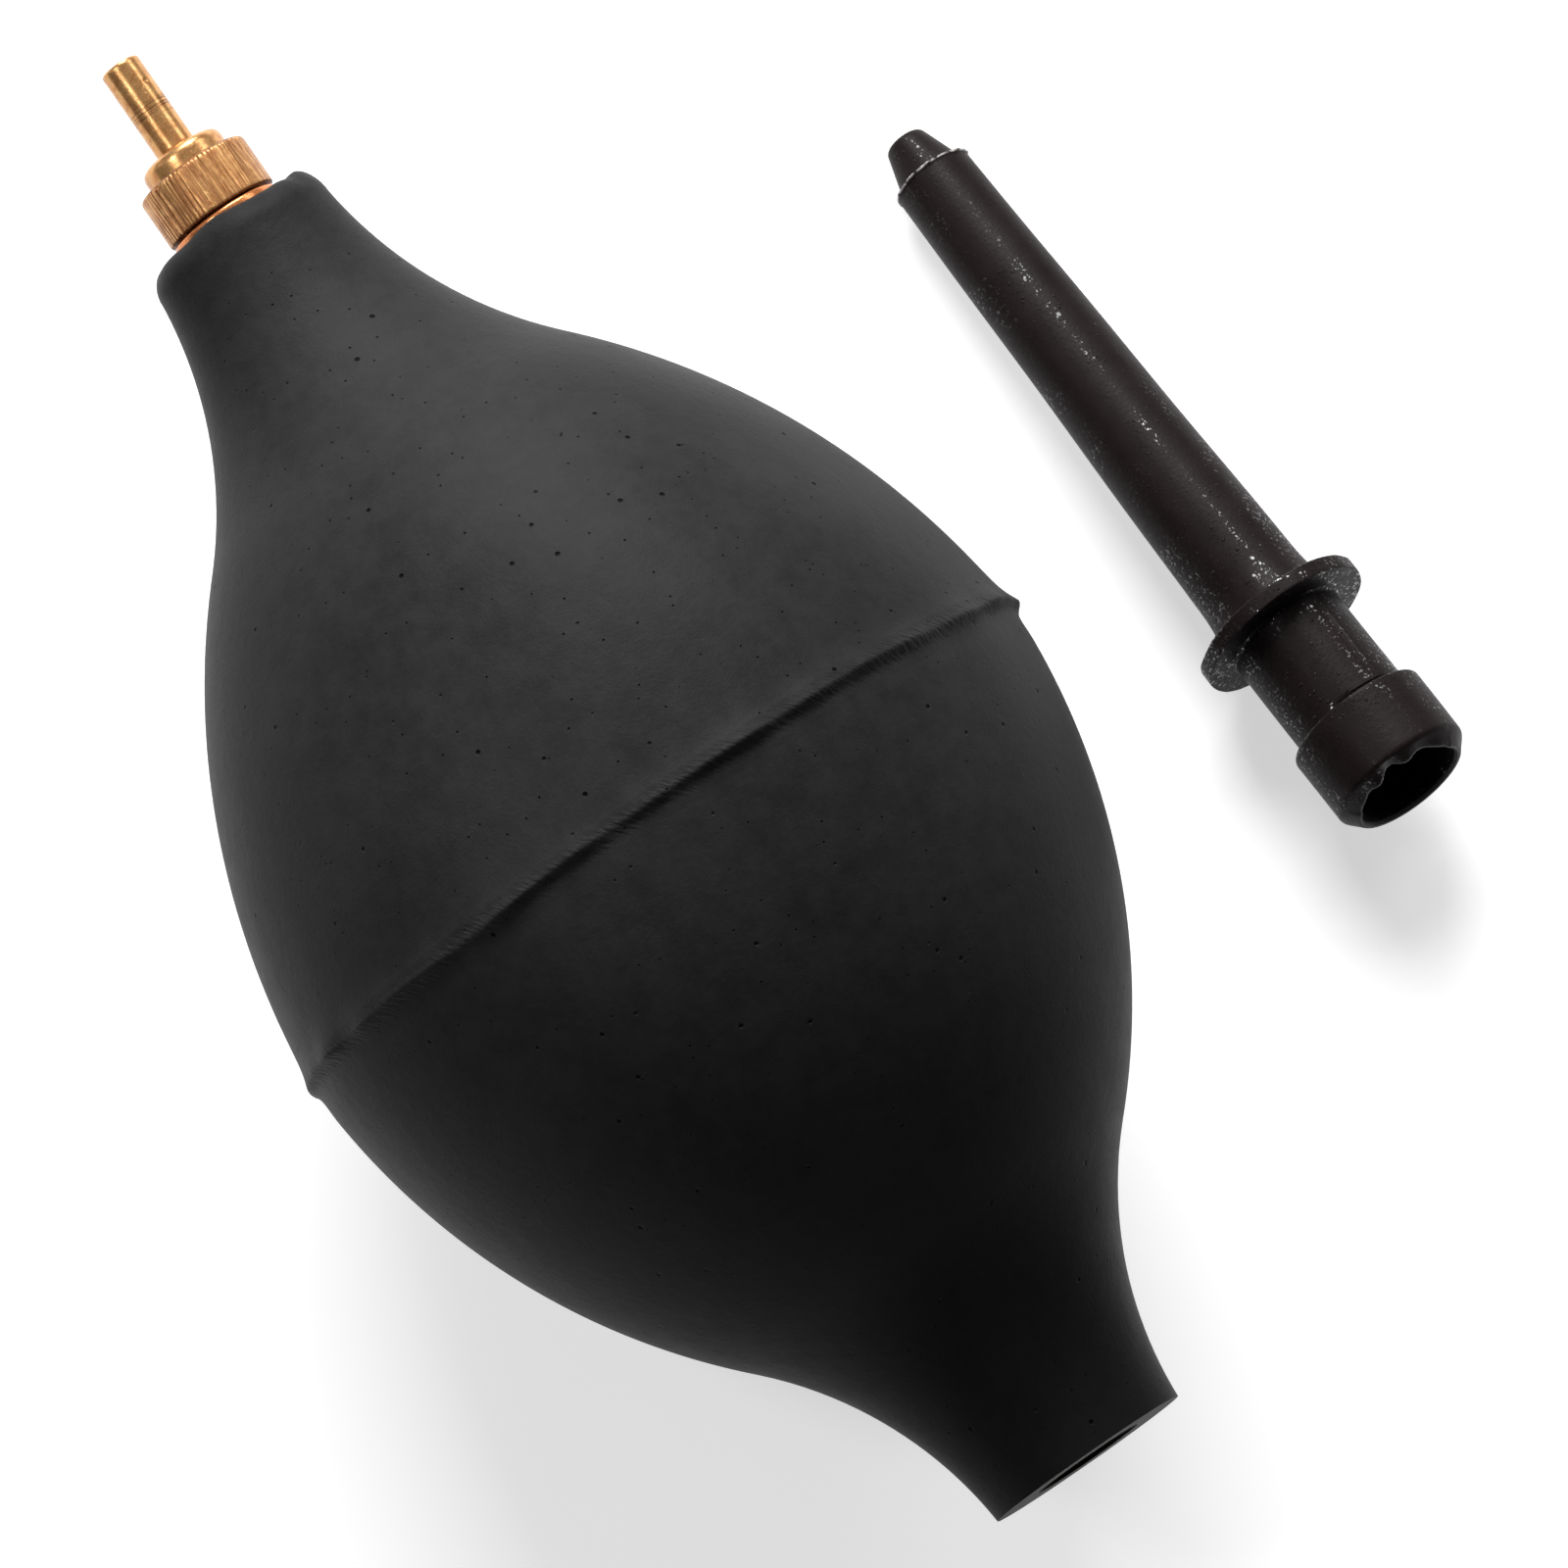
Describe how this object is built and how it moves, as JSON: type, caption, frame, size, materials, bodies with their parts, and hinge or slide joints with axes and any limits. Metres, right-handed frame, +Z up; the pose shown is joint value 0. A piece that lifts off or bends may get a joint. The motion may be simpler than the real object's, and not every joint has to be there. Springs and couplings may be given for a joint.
{
  "type": "dust blower bulb",
  "caption": "Squeezable black rubber blower bulb with a brass jet held by a knurled nut, inner ball valves and a loose plug-in plastic nozzle.",
  "frame": {"origin": "below the middle of the lying set's box, on the surface that it lies on", "axes": "+X the way the jet blows (the jet itself points 9.3 degrees above it), +Y from the loose nozzle to the bulb, +Z up"},
  "size_m": [0.1258, 0.0926, 0.0632],
  "materials": {
    "rubber": "matt moulded black rubber with pits, faint scuffs and a raised parting ridge",
    "brass": "turned brass, lightly worn, with fine tool rings",
    "knurled_brass": "straight-knurled brass, darkened in the grooves",
    "steel": "polished ball",
    "spring_steel": "drawn spring wire",
    "fibre": "red-brown vulcanised fibre",
    "black_plastic": "satin brownish-black moulded plastic with a fine grain and a parting line"
  },
  "bodies": {
    "bulb": {"rubber_bulb": "rubber", "outlet_valve_body": "brass", "outlet_spring": "spring_steel", "inlet_valve_body": "brass", "inlet_retainer": "brass"},
    "squeezed_wall": {"thumb_wall": "rubber"},
    "jet": {"jet_collar": "brass", "jet_tube": "brass", "jet_washer": "fibre"},
    "nut": {"knurled_nut": "knurled_brass"},
    "outlet_check": {"outlet_ball": "steel"},
    "inlet_check": {"inlet_ball": "steel"},
    "nozzle": {"plastic_nozzle": "black_plastic"}
  },
  "joints": [
    {"name": "squeeze", "type": "slide", "parent": "bulb", "child": "squeezed_wall", "axis": [0.1614, 0, -0.9869], "range_m": [0, 0.014], "stiffness_N_per_m": 1000, "springref_m": -0.001},
    {"name": "jet_lift", "type": "slide", "parent": "bulb", "child": "jet", "axis": [0.9869, 0, 0.1614], "range_m": [0, 0.00225]},
    {"name": "nut_turn", "type": "hinge", "parent": "jet", "child": "nut", "pos_m": [0.05167, 0.01425, 0.04126], "axis": [0.9869, 0, 0.1614], "range_deg": [0, 1080.5]},
    {"name": "outlet_lift", "type": "slide", "parent": "bulb", "child": "outlet_check", "axis": [0.9869, 0, 0.1614], "range_m": [0, 0.0008], "stiffness_N_per_m": 20, "springref_m": -0.001, "deforming": ["outlet_spring"]},
    {"name": "inlet_lift", "type": "slide", "parent": "bulb", "child": "inlet_check", "axis": [0.9869, 0, 0.1614], "range_m": [0, 0.0009]},
    {"name": "nozzle_slide", "type": "slide", "parent": "bulb", "child": "nozzle", "axis": [1, -0.0061, 0], "range_m": [-0.03, 0.03]}
  ],
  "couplings": [
    {"joint": "nut_turn", "follows": "jet_lift", "rad_per_m": 8377.6}
  ]
}
